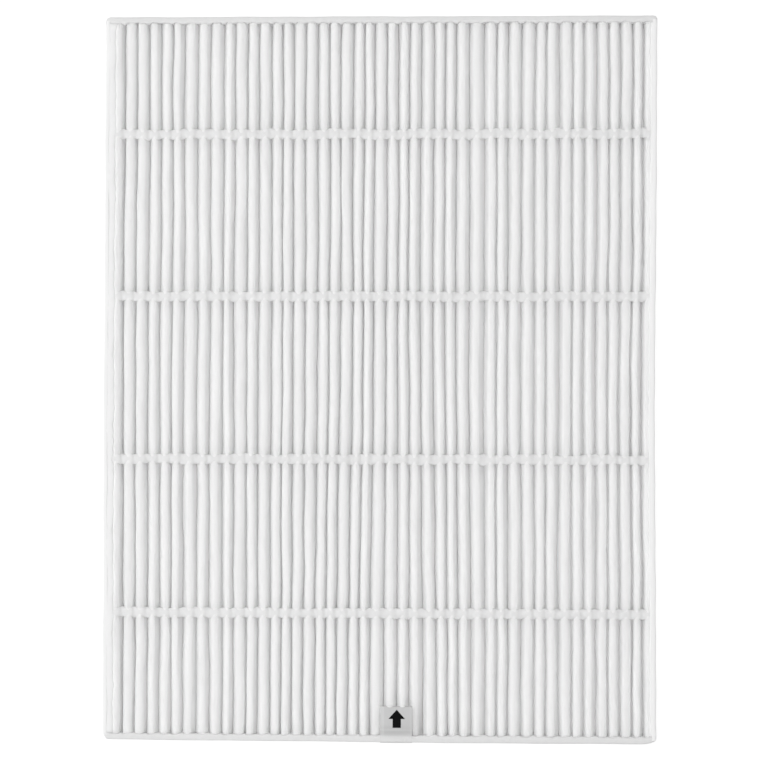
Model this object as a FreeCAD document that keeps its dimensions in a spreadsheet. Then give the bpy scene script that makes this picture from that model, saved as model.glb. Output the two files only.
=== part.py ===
import FreeCAD, Part
import Sketcher
import math
import os

# Pleated panel air filter, lying on its back with its front face up.
# X runs across the pleats, Y runs along them and Z is the depth, with z = 0 at the back rim.
# All sizes are in millimetres.

SIZES = [
    ("PanelWidth", 290.0, "over the side bands"),
    ("PanelHeight", 382.0, "over the top and bottom bands"),
    ("PanelDepth", 30.0, "from the back rim to the front rim"),
    ("BandThickness", 2.0, "felt strip round the four edges, and the radius of its outer corners"),
    ("BandEase", 0.5, "bevel along the outer rims of the felt"),
    ("LeftSeam", 2.0, "glue between the left band and the first leg of the sheet"),
    ("RightSeam", 0.36, "glue between the last leg of the sheet and the right band"),
    ("TopSeam", 1.2, "glue between the upper pleat ends and the top band"),
    ("BottomSeam", 2.0, "glue between the lower pleat ends and the bottom band"),
    ("SeamRecess", 0.8, "how far the glue lies below both rims where it meets the pleats"),
    ("SeamCreep", 0.4, "how far the glue climbs the top and bottom bands above that"),
    ("RidgeCount", 45, "ridges on the front face"),
    ("RidgeRadius", 1.9, "outside radius of a front ridge"),
    ("RidgeRecess", 0.4, "how far the ridges lie below the rims, front and back"),
    ("MediaThickness", 0.6, "folded sheet"),
    ("BeadWidth", 3.3, "glue string, along the pleats"),
    ("BeadCrown", 0.3, "top of a glue string above the ridges"),
    ("BeadWall", 0.1, "upright side of a glue string above the ridges"),
    ("BeadDip", 1.2, "how far a glue string sinks into each valley"),
    ("BeadRowOne", 61.9, "middle of the first glue row below the panel's top edge"),
    ("BeadRowTwo", 43.5, "middle of the second glue row above the panel's middle"),
    ("BeadRowThree", 42.2, "middle of the third glue row below the panel's middle"),
    ("BeadRowFour", 67.9, "middle of the fourth glue row above the panel's bottom edge"),
    ("TabWidth", 16.8, "film tab, across the pleats"),
    ("TabCentre", 8.9, "middle of the tab to the right of the panel's middle"),
    ("TabReach", 19.1, "top edge of the tab above the bottom edge of the panel"),
    ("TabWrap", 18.0, "how far the tab runs down the outside of the bottom band"),
    ("FilmThickness", 0.2, "film of the tab"),
    ("ArrowShift", 0.3, "middle of the arrow to the right of the tab's middle"),
    ("ArrowDrop", 2.0, "tip of the arrow below the top edge of the tab"),
    ("ArrowLength", 9.2, "printed arrow, tip to foot"),
    ("ArrowHeadLength", 4.8, "its head"),
    ("ArrowHeadWidth", 8.4, "its head"),
    ("ArrowShaftWidth", 4.2, "its shaft"),
    ("InkThickness", 0.1, "printed layer"),
]

# Places that several pieces share, worked out from the sizes.
HALF_WIDTH = "(sizes.PanelWidth / 2)"
HALF_HEIGHT = "(sizes.PanelHeight / 2)"
BAY_X = f"({HALF_WIDTH} - sizes.BandThickness)"
BAY_Y = f"({HALF_HEIGHT} - sizes.BandThickness)"
MEDIA_LEFT = f"(-{BAY_X} + sizes.LeftSeam)"
MEDIA_RIGHT = f"({BAY_X} - sizes.RightSeam)"
MEDIA_TOP = f"({BAY_Y} - sizes.TopSeam)"
MEDIA_BOTTOM = f"(-{BAY_Y} + sizes.BottomSeam)"
FIRST_CREST = f"({MEDIA_LEFT} + sizes.RidgeRadius)"
LAST_CREST = f"({MEDIA_RIGHT} - sizes.RidgeRadius)"
PITCH = f"(({LAST_CREST} - {FIRST_CREST}) / (sizes.RidgeCount - 1))"
FRONT_PLANE = "(sizes.PanelDepth - sizes.RidgeRecess)"
BACK_PLANE = "sizes.RidgeRecess"
RIDGE_INSIDE = "(sizes.RidgeRadius - sizes.MediaThickness)"
FLOOR_INSIDE = f"({PITCH} / 2 - sizes.RidgeRadius)"
BACK_RADIUS = f"({FLOOR_INSIDE} + sizes.MediaThickness)"
RIDGE_AXIS = f"({FRONT_PLANE} - sizes.RidgeRadius)"
FLOOR_AXIS = f"({BACK_PLANE} + {BACK_RADIUS})"
# A side at 45 degrees that touches a circle: the point where it touches, and the points where it
# meets the level and upright tangents, all as shares of the radius.
TOUCH = "(sqrt(2) / 2)"
FACET = "(sqrt(2) - 1)"
TAB_TOP = f"(-{HALF_HEIGHT} + sizes.TabReach)"
BEAD_ROWS = [
    f"{HALF_HEIGHT} - sizes.BeadRowOne",
    "sizes.BeadRowTwo",
    "-sizes.BeadRowThree",
    f"-{HALF_HEIGHT} + sizes.BeadRowFour",
]
CLOSE = 1e-6

doc = FreeCAD.newDocument("pleated_panel_filter")
sheet = doc.addObject("Spreadsheet::Sheet", "sizes")
for row, (alias, value, meaning) in enumerate(SIZES, start=1):
    sheet.set(f"A{row}", meaning)
    sheet.set(f"B{row}", str(value))
    sheet.setAlias(f"B{row}", alias)
doc.recompute()


def number(expression):
    """The present value of an expression on the sheet."""
    return float(sheet.evalExpression(expression.replace("sizes.", "")))


def new_body(label):
    """An empty body with its own label."""
    body = doc.addObject("PartDesign::Body", label)
    body.Label = label
    return body


def new_sketch(body, name, plane, offset="0"):
    """A sketch on one of the body's own origin planes, moved along that plane's normal."""
    sketch = body.newObject("Sketcher::SketchObject", name)
    support = [item for item in body.Origin.OriginFeatures if item.Role == plane][0]
    sketch.AttachmentSupport = [(support, "")]
    sketch.MapMode = "FlatFace"
    sketch.setExpression("AttachmentOffset.Base.z", offset)
    return sketch


def draw_outline(sketch, corners, arcs=None, hollows=None):
    """A closed outline, drawn clockwise, whose corners are pairs of expressions.

    arcs and hollows map a corner's number to the height of the centre of the arc that runs from
    that corner to the next; an arc bulges outwards and a hollow inwards. All other corners are
    joined by straight lines.
    """
    arcs, hollows = arcs or {}, hollows or {}
    heights = {**arcs, **hollows}
    places = [(number(across), number(up)) for across, up in corners]
    first = sketch.GeometryCount
    ends = []
    for index, start in enumerate(places):
        finish = places[(index + 1) % len(places)]
        if index not in heights:
            line = Part.LineSegment(FreeCAD.Vector(*start, 0), FreeCAD.Vector(*finish, 0))
            sketch.addGeometry(line, False)
            ends.append((1, 2))
            continue
        circle = circle_through(start, finish, number(heights[index]))
        turn = (start, finish) if index in hollows else (finish, start)
        sketch.addGeometry(Part.ArcOfCircle(circle, *[angle_of(point, circle) for point in turn]), False)
        ends.append((1, 2) if index in hollows else (2, 1))
    for index in range(len(places)):
        before = (index - 1) % len(places)
        joint = (first + before, ends[before][1], first + index, ends[index][0])
        sketch.addConstraint(Sketcher.Constraint("Coincident", *joint))
    for index, (across, up) in enumerate(corners):
        bind(sketch, "DistanceX", first + index, ends[index][0], across)
        bind(sketch, "DistanceY", first + index, ends[index][0], up)
    for index, height in heights.items():
        bind(sketch, "DistanceY", first + index, 3, height)


def circle_through(start, finish, centre_up):
    """The circle through two points whose centre lies at the given height."""
    run, rise = finish[0] - start[0], finish[1] - start[1]
    middle_across, middle_up = (start[0] + finish[0]) / 2, (start[1] + finish[1]) / 2
    centre_across = middle_across - (centre_up - middle_up) * rise / run
    radius = math.dist(start, (centre_across, centre_up))
    return Part.Circle(FreeCAD.Vector(centre_across, centre_up, 0), FreeCAD.Vector(0, 0, 1), radius)


def angle_of(point, circle):
    """The direction of a point as seen from a circle's centre."""
    return math.atan2(point[1] - circle.Center.y, point[0] - circle.Center.x)


def bind(sketch, kind, geometry, point, expression):
    """One distance from the sketch's origin, tied to the sheet."""
    constraint = Sketcher.Constraint(kind, -1, 1, geometry, point, number(expression))
    place = sketch.addConstraint(constraint)
    sketch.setExpression(f"Constraints[{place}]", expression)


def pad(body, sketch, name, length, both_ways=False):
    """The sketch pulled out along its normal."""
    feature = body.newObject("PartDesign::Pad", name)
    feature.Profile = sketch
    feature.SideType = "Symmetric" if both_ways else "One side"
    feature.setExpression("Length", length)
    feature.Refine = True
    body.Tip = feature
    return feature


def repeat_across(body, feature, sketch, name, copies):
    """The feature repeated along X, one pleat pitch apart."""
    pattern = body.newObject("PartDesign::LinearPattern", name)
    pattern.Originals = [feature]
    pattern.Direction = (sketch, ["H_Axis"])
    pattern.Mode = "Extent"
    pattern.setExpression("Length", f"{PITCH} * ({copies} - 1)")
    pattern.setExpression("Occurrences", copies)
    pattern.Refine = True
    body.Tip = pattern
    return pattern


def make_media():
    """One sheet folded into upright pleats; its outermost legs run straight down to the back.

    A front ridge has a round crown and flat shoulders at 45 degrees, on which the glue strings
    seat. The back ridges and the insides of all folds are flat sides that touch their circles.
    """
    body = new_body("pleated_media")
    start = f"(-{MEDIA_TOP})"
    length = f"{MEDIA_TOP} - {MEDIA_BOTTOM}"

    crest, following = FIRST_CREST, f"({FIRST_CREST} + {PITCH})"
    fold = f"({FIRST_CREST} + {PITCH} / 2)"
    crown_end = f"({RIDGE_AXIS} + sizes.RidgeRadius * {TOUCH})"
    shoulder = f"({RIDGE_AXIS} + sizes.RidgeRadius * {FACET})"
    under_crest = f"({FRONT_PLANE} - sizes.MediaThickness)"
    under_shoulder = f"({RIDGE_AXIS} + {RIDGE_INSIDE} * {FACET})"
    floor = f"({BACK_PLANE} + sizes.MediaThickness)"
    floor_shoulder = f"({FLOOR_AXIS} - {FLOOR_INSIDE} * {FACET})"
    back_shoulder = f"({FLOOR_AXIS} - {BACK_RADIUS} * {FACET})"

    section = new_sketch(body, "pleat_section", "XZ_Plane", start)
    draw_outline(section, [
        (crest, FRONT_PLANE),
        (f"{crest} + sizes.RidgeRadius * {TOUCH}", crown_end),
        (f"{crest} + sizes.RidgeRadius", shoulder),
        (f"{fold} - {FLOOR_INSIDE}", floor_shoulder),
        (f"{fold} - {FLOOR_INSIDE} * {FACET}", floor),
        (f"{fold} + {FLOOR_INSIDE} * {FACET}", floor),
        (f"{fold} + {FLOOR_INSIDE}", floor_shoulder),
        (f"{following} - sizes.RidgeRadius", shoulder),
        (f"{following} - sizes.RidgeRadius * {TOUCH}", crown_end),
        (following, FRONT_PLANE),
        (following, under_crest),
        (f"{following} - {RIDGE_INSIDE} * {FACET}", under_crest),
        (f"{following} - {RIDGE_INSIDE}", under_shoulder),
        (f"{fold} + {BACK_RADIUS}", back_shoulder),
        (f"{fold} + {BACK_RADIUS} * {FACET}", BACK_PLANE),
        (f"{fold} - {BACK_RADIUS} * {FACET}", BACK_PLANE),
        (f"{fold} - {BACK_RADIUS}", back_shoulder),
        (f"{crest} + {RIDGE_INSIDE}", under_shoulder),
        (f"{crest} + {RIDGE_INSIDE} * {FACET}", under_crest),
        (crest, under_crest),
    ], arcs={0: RIDGE_AXIS, 8: RIDGE_AXIS})
    pleat = pad(body, section, "pleat", length)
    repeat_across(body, pleat, section, "pleats", "(sizes.RidgeCount - 1)")

    legs = new_sketch(body, "leg_section", "XZ_Plane", start)
    draw_outline(legs, [
        (MEDIA_LEFT, shoulder),
        (f"{FIRST_CREST} - sizes.RidgeRadius * {TOUCH}", crown_end),
        (FIRST_CREST, FRONT_PLANE),
        (FIRST_CREST, under_crest),
        (f"{FIRST_CREST} - {RIDGE_INSIDE} * {FACET}", under_crest),
        (f"{FIRST_CREST} - {RIDGE_INSIDE}", under_shoulder),
        (f"{FIRST_CREST} - {RIDGE_INSIDE}", BACK_PLANE),
        (MEDIA_LEFT, BACK_PLANE),
    ], arcs={1: RIDGE_AXIS})
    draw_outline(legs, [
        (LAST_CREST, FRONT_PLANE),
        (f"{LAST_CREST} + sizes.RidgeRadius * {TOUCH}", crown_end),
        (MEDIA_RIGHT, shoulder),
        (MEDIA_RIGHT, BACK_PLANE),
        (f"{LAST_CREST} + {RIDGE_INSIDE}", BACK_PLANE),
        (f"{LAST_CREST} + {RIDGE_INSIDE}", under_shoulder),
        (f"{LAST_CREST} + {RIDGE_INSIDE} * {FACET}", under_crest),
        (LAST_CREST, under_crest),
    ], arcs={0: RIDGE_AXIS})
    pad(body, legs, "outer_legs", length)


def tooth(left_ridge, right_ridge, radius, plane, inward):
    """The part of a glue string in one valley: its slanted sides lie on the shoulders beside it."""
    lead = f"{radius} * {FACET}"
    depth = f"{plane} {inward} sizes.BeadDip"
    return [
        (f"{left_ridge} + {lead}", plane),
        (f"{right_ridge} - {lead}", plane),
        (f"{right_ridge} - {lead} - sizes.BeadDip", depth),
        (f"{left_ridge} + {lead} + sizes.BeadDip", depth),
    ]


def make_bead(label, row, front):
    """A glue string from band to band over all ridges of one face, dipping into every valley."""
    body = new_body(label)
    if front:
        plane, inward, outward = FRONT_PLANE, "-", "+"
        radius = "sizes.RidgeRadius"
        first, last, copies = FIRST_CREST, LAST_CREST, "(sizes.RidgeCount - 1)"
    else:
        plane, inward, outward = BACK_PLANE, "+", "-"
        radius = BACK_RADIUS
        first, last = f"({FIRST_CREST} + {PITCH} / 2)", f"({LAST_CREST} - {PITCH} / 2)"
        copies = "(sizes.RidgeCount - 2)"
    crown = f"({plane} {outward} sizes.BeadCrown)"
    wall = f"({plane} {outward} sizes.BeadWall)"
    rise = "(sizes.BeadCrown - sizes.BeadWall)"
    crown_radius = f"(((sizes.BeadWidth / 2) ^ 2 + {rise} ^ 2) / (2 * {rise}))"
    crown_axis = f"{crown} {inward} {crown_radius}"

    half = "sizes.BeadWidth / 2"
    section = new_sketch(body, "string_section", "YZ_Plane")
    if front:
        corners = [(f"-{half}", wall), (half, wall), (half, plane), (f"-{half}", plane)]
    else:
        corners = [(half, wall), (f"-{half}", wall), (f"-{half}", plane), (half, plane)]
    draw_outline(section, corners, arcs={0: crown_axis})
    pad(body, section, "string", f"2 * {BAY_X}", both_ways=True)

    valley = new_sketch(body, "tooth_section", "XZ_Plane")
    draw_outline(valley, tooth(first, f"({first} + {PITCH})", radius, plane, inward))
    one = pad(body, valley, "tooth", "sizes.BeadWidth", both_ways=True)
    repeat_across(body, one, valley, "teeth", copies)

    ends = new_sketch(body, "end_section", "XZ_Plane")
    step = "(sizes.SeamRecess - sizes.RidgeRecess)"
    to_seam, dip = f"{plane} {inward} {step}", f"{plane} {inward} sizes.BeadDip"
    lead = f"{radius} * {FACET}"
    for band, leg, ridge, away, back in (
        (f"-{BAY_X}", MEDIA_LEFT, first, "-", "+"),
        (BAY_X, MEDIA_RIGHT, last, "+", "-"),
    ):
        beside = f"{ridge} {away} {lead}"
        if front:
            draw_outline(ends, [
                (band, plane),
                (beside, plane),
                (f"{beside} {away} {step}", to_seam),
                (band, to_seam),
            ])
        else:
            inside = f"{leg} {back} sizes.MediaThickness"
            draw_outline(ends, [(band, plane), (leg, plane), (leg, to_seam), (band, to_seam)])
            draw_outline(ends, [
                (inside, plane),
                (beside, plane),
                (f"{beside} {away} sizes.BeadDip", dip),
                (inside, dip),
            ])
    pad(body, ends, "ends", "sizes.BeadWidth", both_ways=True)
    body.setExpression("Placement.Base.y", row)


def make_side_seam(label, left_face, width):
    """A flat wall of glue between a side band and the outermost leg of the sheet."""
    seam = doc.addObject("Part::Box", label)
    seam.Label = label
    seam.setExpression("Length", width)
    seam.setExpression("Width", f"{MEDIA_TOP} - {MEDIA_BOTTOM}")
    seam.setExpression("Height", "sizes.PanelDepth - 2 * sizes.SeamRecess")
    seam.setExpression("Placement.Base.x", left_face)
    seam.setExpression("Placement.Base.y", MEDIA_BOTTOM)
    seam.setExpression("Placement.Base.z", "sizes.SeamRecess")


def make_end_seam(label, at_top):
    """Glue across the pleat ends, with a hollow front and back where it creeps up the band."""
    body = new_body(label)
    width = "sizes.TopSeam" if at_top else "sizes.BottomSeam"
    low, high = "sizes.SeamRecess", "(sizes.PanelDepth - sizes.SeamRecess)"
    low_edge, high_edge = f"{low} - sizes.SeamCreep", f"{high} + sizes.SeamCreep"
    hollow = f"(({width} ^ 2 + sizes.SeamCreep ^ 2) / (2 * sizes.SeamCreep))"
    if at_top:
        corners = [(MEDIA_TOP, high), (BAY_Y, high_edge), (BAY_Y, low_edge), (MEDIA_TOP, low)]
    else:
        band = f"-{BAY_Y}"
        corners = [(band, high_edge), (MEDIA_BOTTOM, high), (MEDIA_BOTTOM, low), (band, low_edge)]
    section = new_sketch(body, "seam_section", "YZ_Plane")
    draw_outline(section, corners, hollows={0: f"{high} + {hollow}", 2: f"{low} - {hollow}"})
    pad(body, section, "seam", f"2 * {BAY_X}", both_ways=True)


def make_end_band(label, at_top):
    """A felt strip over the full width of the panel; its two ends are rounded off."""
    body = new_body(label)
    if at_top:
        corners = [
            (f"-{HALF_WIDTH}", BAY_Y),
            (f"-{BAY_X}", HALF_HEIGHT),
            (BAY_X, HALF_HEIGHT),
            (HALF_WIDTH, BAY_Y),
        ]
        centre, outside = BAY_Y, number(HALF_HEIGHT)
    else:
        corners = [
            (HALF_WIDTH, f"-{BAY_Y}"),
            (BAY_X, f"-{HALF_HEIGHT}"),
            (f"-{BAY_X}", f"-{HALF_HEIGHT}"),
            (f"-{HALF_WIDTH}", f"-{BAY_Y}"),
        ]
        centre, outside = f"-{BAY_Y}", -number(HALF_HEIGHT)
    plan = new_sketch(body, "band_plan", "XY_Plane")
    draw_outline(plan, corners, arcs={0: centre, 2: centre})
    strip = pad(body, plan, "strip", "sizes.PanelDepth")
    doc.recompute()
    ease = body.newObject("PartDesign::Chamfer", "eased_rims")
    ease.Base = (strip, long_edges(strip.Shape, outside))
    ease.setExpression("Size", "sizes.BandEase")
    body.Tip = ease


def long_edges(shape, outside):
    """The names of the edges that run along X on the face at y = outside."""
    names = []
    for place, edge in enumerate(shape.Edges, start=1):
        box = edge.BoundBox
        on_face = max(abs(box.YMin - outside), abs(box.YMax - outside)) < CLOSE
        if on_face and box.XLength > CLOSE:
            names.append(f"Edge{place}")
    return names


def make_side_band(label, at_left):
    """A felt strip between the top and bottom bands, bevelled along its outer rims."""
    body = new_body(label)
    ease, front = "sizes.BandEase", "sizes.PanelDepth"
    under_front = f"{front} - {ease}"
    if at_left:
        outside, inside, inwards = f"-{HALF_WIDTH}", f"-{BAY_X}", "+"
    else:
        outside, inside, inwards = HALF_WIDTH, BAY_X, "-"
    section = new_sketch(body, "band_section", "XZ_Plane")
    draw_outline(section, [
        (outside, under_front),
        (f"{outside} {inwards} {ease}", front),
        (inside, front),
        (inside, "0"),
        (f"{outside} {inwards} {ease}", "0"),
        (outside, ease),
    ])
    pad(body, section, "strip", f"2 * {BAY_Y}", both_ways=True)


def make_tab():
    """A film strip that lies on the ridges, steps up to the bottom band and wraps round it."""
    body = new_body("arrow_tab")
    film, ease, front = "sizes.FilmThickness", "sizes.BandEase", "sizes.PanelDepth"
    outside, band = f"-{HALF_HEIGHT}", f"-{BAY_Y}"
    end = f"{front} - sizes.TabWrap"
    section = new_sketch(body, "film_section", "YZ_Plane", "sizes.TabCentre")
    draw_outline(section, [
        (f"{outside} - {film}", end),
        (f"{outside} - {film}", f"{front} - {ease} + {film} * {FACET}"),
        (f"{outside} + {ease} - {film} * {FACET}", f"{front} + {film}"),
        (band, f"{front} + {film}"),
        (MEDIA_BOTTOM, f"{FRONT_PLANE} + {film}"),
        (TAB_TOP, f"{FRONT_PLANE} + {film}"),
        (TAB_TOP, FRONT_PLANE),
        (MEDIA_BOTTOM, FRONT_PLANE),
        (band, front),
        (f"{outside} + {ease}", front),
        (outside, f"{front} - {ease}"),
        (outside, end),
    ])
    pad(body, section, "film", "sizes.TabWidth", both_ways=True)


def make_arrow():
    """The printed arrow, which points along the pleats."""
    body = new_body("direction_arrow")
    middle = "(sizes.TabCentre + sizes.ArrowShift)"
    tip = f"({TAB_TOP} - sizes.ArrowDrop)"
    barb, foot = f"{tip} - sizes.ArrowHeadLength", f"{tip} - sizes.ArrowLength"
    head, shaft = "sizes.ArrowHeadWidth / 2", "sizes.ArrowShaftWidth / 2"
    plan = new_sketch(body, "arrow_plan", "XY_Plane", f"{FRONT_PLANE} + sizes.FilmThickness")
    draw_outline(plan, [
        (middle, tip),
        (f"{middle} + {head}", barb),
        (f"{middle} + {shaft}", barb),
        (f"{middle} + {shaft}", foot),
        (f"{middle} - {shaft}", foot),
        (f"{middle} - {shaft}", barb),
        (f"{middle} - {head}", barb),
    ])
    pad(body, plan, "ink", "sizes.InkThickness")


def check_document():
    """Stop at anything that didn't build."""
    failed = [item.Name for item in doc.Objects if {"Invalid", "Error"} & set(item.State)]
    if failed:
        raise RuntimeError(f"these did not build: {failed}")
    for piece in pieces():
        shape = piece.Shape
        if shape.isNull() or not shape.isValid() or len(shape.Solids) != 1:
            raise RuntimeError(f"{piece.Label} is not one valid solid")


def pieces():
    """The bodies and boxes that each stand for one real piece."""
    return [item for item in doc.Objects if item.TypeId in ("PartDesign::Body", "Part::Box")]


make_media()
for place, row in enumerate(BEAD_ROWS, start=1):
    make_bead(f"front_bead_{place}", row, front=True)
    make_bead(f"back_bead_{place}", row, front=False)
make_side_seam("left_seam", f"-{BAY_X}", "sizes.LeftSeam")
make_side_seam("right_seam", MEDIA_RIGHT, "sizes.RightSeam")
make_end_seam("top_seam", at_top=True)
make_end_seam("bottom_seam", at_top=False)
make_end_band("top_band", at_top=True)
make_end_band("bottom_band", at_top=False)
make_side_band("left_band", at_left=True)
make_side_band("right_band", at_left=False)
make_tab()
make_arrow()

doc.recompute()
check_document()
os.makedirs("parts", exist_ok=True)
for piece in pieces():
    piece.Shape.exportStep(f"parts/{piece.Label}.step")
    box = piece.Shape.BoundBox
    print(f"{piece.Label}: {box.XLength:.1f} x {box.YLength:.1f} x {box.ZLength:.1f} mm")
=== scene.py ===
# %% [markdown]
# A pleated panel air filter, dressed for a picture
#
# The real thing is one long sheet of white non-woven media, folded like a concertina into forty-five
# upright pleats. Strings of hot-melt glue run across the pleats and hold them apart, four soft strips
# close the edges, and a small film tab with a printed arrow says which way the air goes.
#
# A handmade pack is never quite even: ridges swell between the glue strings, lean a little and end in
# round tips. So each piece here is a surface worked out from a formula with some seeded unevenness in it.
# The boxes of the CAD pieces say where everything goes, and nothing is fitted afterwards.

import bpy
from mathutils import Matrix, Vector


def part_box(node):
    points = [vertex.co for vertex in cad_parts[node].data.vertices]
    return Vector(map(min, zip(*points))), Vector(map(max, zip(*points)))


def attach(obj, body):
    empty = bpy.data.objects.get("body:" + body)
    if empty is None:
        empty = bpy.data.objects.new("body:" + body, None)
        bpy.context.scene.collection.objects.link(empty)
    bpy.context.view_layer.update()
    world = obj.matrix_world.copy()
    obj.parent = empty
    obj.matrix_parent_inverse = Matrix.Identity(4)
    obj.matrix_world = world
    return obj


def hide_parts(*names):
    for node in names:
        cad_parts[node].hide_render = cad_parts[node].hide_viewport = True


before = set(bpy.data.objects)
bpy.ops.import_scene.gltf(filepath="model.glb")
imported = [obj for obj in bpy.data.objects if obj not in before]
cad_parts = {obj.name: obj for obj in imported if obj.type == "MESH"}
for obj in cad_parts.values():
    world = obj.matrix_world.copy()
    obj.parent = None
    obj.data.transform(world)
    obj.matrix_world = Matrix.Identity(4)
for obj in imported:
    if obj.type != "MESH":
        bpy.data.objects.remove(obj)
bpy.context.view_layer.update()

# %% [markdown]
# Units
#
# Blender works in metres here, but a filter is measured in millimetres. Every shape is worked out in
# millimetres as plain numpy arrays and turned into metres once, when it becomes a mesh. That keeps the
# numbers readable, and every object stays at the origin with its place in its mesh.

# %% Units and the boxes of the CAD pieces
import math

import bpy
import numpy as np
from mathutils import Matrix

MM = 0.001


def box_mm(node):
    """Lowest and highest corner of a CAD node, in millimetres."""
    return [np.array(corner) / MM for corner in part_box(node)]


MEDIA_LOW, MEDIA_HIGH = box_mm("pleated_media")
TOP_LOW, TOP_HIGH = box_mm("top_band")
BOTTOM_LOW, BOTTOM_HIGH = box_mm("bottom_band")
LEFT_LOW, LEFT_HIGH = box_mm("left_band")
RIGHT_LOW, RIGHT_HIGH = box_mm("right_band")
TAB_LOW, TAB_HIGH = box_mm("arrow_tab")
ARROW_LOW, ARROW_HIGH = box_mm("direction_arrow")
FRONT_GLUE = [np.mean(box_mm(f"front_bead_{n}"), axis=0)[1] for n in (1, 2, 3, 4)]
BACK_GLUE = [np.mean(box_mm(f"back_bead_{n}"), axis=0)[1] for n in (1, 2, 3, 4)]
print("pleat pack", np.round(MEDIA_LOW, 2), np.round(MEDIA_HIGH, 2))
print("glue rows, front", np.round(FRONT_GLUE, 1), "back", np.round(BACK_GLUE, 1))

# %% [markdown]
# Two kinds of skin
#
# Everything on this filter is either a thin sheet or a string with closed ends. A sheet is two grids of
# points, its front and its back, sewn together round the rim. A string is a stack of rings, each joined
# to the next, with a point at either end. Two small helpers make both kinds from arrays of points, so
# that the rest of the script only has to say where the points are.

# %% Helpers: a sheet from two grids, a string from rings
def cells(rows, columns, closed):
    """Corner numbers of every cell of a grid of rows by columns. A closed grid joins its last column to
    its first: corner (r, c) has number r * columns + c."""
    wide = columns if closed else columns - 1
    row, column = np.meshgrid(np.arange(rows - 1), np.arange(wide), indexing="ij")
    right = (column + 1) % columns
    here, below = row * columns, (row + 1) * columns
    return np.stack([here + column, here + right, below + right, below + column], axis=-1).reshape(-1, 4)


def new_piece(name, points, faces, smooth=True):
    """An object at the origin from points in millimetres and lists of corner numbers, facing outwards."""
    mesh = bpy.data.meshes.new(name)
    mesh.from_pydata((points * MM).tolist(), [], faces)
    mesh.polygons.foreach_set("use_smooth", np.full(len(mesh.polygons), smooth))
    mesh.update()
    piece = bpy.data.objects.new(name, mesh)
    bpy.context.collection.objects.link(piece)
    return piece


def sheet_piece(name, front, back):
    """A thin sheet: the front grid as it is, the back grid turned over, and one row of cells round the
    rim. Both grids hold rows by columns of points, and rows run to the right of columns."""
    rows, columns = front.shape[:2]
    count = rows * columns
    number = np.arange(count).reshape(rows, columns)
    rim = np.concatenate([number[0], number[1:, -1], number[-1, -2::-1], number[-2:0:-1, 0]])
    beside = np.roll(rim, -1)
    face = cells(rows, columns, closed=False)
    edge = np.stack([rim + count, beside + count, beside, rim], axis=-1)
    faces = np.concatenate([face, face[:, ::-1] + count, edge])
    points = np.concatenate([front.reshape(-1, 3), back.reshape(-1, 3)])
    return new_piece(name, points, faces.tolist())


def string_piece(name, rings):
    """A closed string: rings of points joined one to the next, and a fan from the middle of the first
    and of the last ring."""
    rows, columns = rings.shape[:2]
    count = rows * columns
    around = np.arange(columns)
    beside = (around + 1) % columns
    last = (rows - 1) * columns
    start = np.stack([beside, around, np.full(columns, count)], axis=-1)
    end = np.stack([around + last, beside + last, np.full(columns, count + 1)], axis=-1)
    points = np.concatenate([rings.reshape(-1, 3), [rings[0].mean(axis=0)], [rings[-1].mean(axis=0)]])
    faces = cells(rows, columns, closed=True).tolist() + start.tolist() + end.tolist()
    return new_piece(name, points, faces)


def triangles(piece):
    """Number of triangles that a piece's faces make."""
    return sum(len(face.vertices) - 2 for face in piece.data.polygons)


print("cells of 3 by 4 points:", len(cells(3, 4, closed=False)), "or, closed,", len(cells(3, 4, closed=True)))

# %% [markdown]
# Unevenness that repeats
#
# Random wobbles must come out the same on every run, so each has a seed of its own. Sums of a few sine
# waves with random phases give soft, wandering curves. Near a glue string or at a cut end the sheet is
# held fast, so a second function fades every wobble to nothing there.

# %% Helpers: wobble, held and smooth steps
STRENGTH_SPREAD = 0.4
STRETCH_RANGE = (0.8, 1.3)


def wobble(seed, count, along, lengths, size):
    """Soft unevenness for each of count pieces at each place along them: a sum of sine waves of about
    the given lengths, each with a random phase, strength and stretch, scaled to the given size."""
    draw = np.random.default_rng(seed)
    shape = (len(lengths), count, 1)
    phase = draw.uniform(0, 2 * np.pi, shape)
    strength = draw.normal(1.0, STRENGTH_SPREAD, shape)
    stretch = draw.uniform(*STRETCH_RANGE, shape)
    wave = np.reshape(np.array(lengths, float), (-1, 1, 1)) * stretch
    total = (strength * np.sin(2 * np.pi * along / wave + phase)).sum(axis=0)
    return size * math.sqrt(2 / len(lengths)) * total


def held(y, places, reach):
    """0 at each held place and 1 away from them: the product of 1 - exp(-(distance / reach)^2)."""
    distance = np.abs(np.asarray(y)[..., None] - np.array(places))
    return np.prod(1 - np.exp(-(distance / reach) ** 2), axis=-1)


def step(value, start, end):
    """0 before start, 1 after end, and between them 3 t^2 - 2 t^3, which has no kink."""
    t = np.clip((np.asarray(value, float) - start) / (end - start), 0, 1)
    return t * t * (3 - 2 * t)


print("a quarter, half and three quarters up a smooth step:", step([0.25, 0.5, 0.75], 0, 1))

# %% [markdown]
# The whole pack is a little out of square
#
# Soft strips don't hold a straight line. In the picture the right edge is pulled in by a millimetre
# half-way up, the left edge stands out by about as much, most of all half-way up, and the lower left
# corner is drawn up a little. Every piece is bent by the same field, so that neighbours still meet.

# %% The bend that all pieces share
HALF_WIDTH = RIGHT_HIGH[0]
HALF_HEIGHT = TOP_HIGH[1]
CORNER_LIFT = 0.4
RIGHT_PULL = 1.0
LEFT_PUSH = 0.35
LEFT_STAND = 0.85
PULL_MIDDLE = -18.0
PULL_REACH = 95.0


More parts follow.
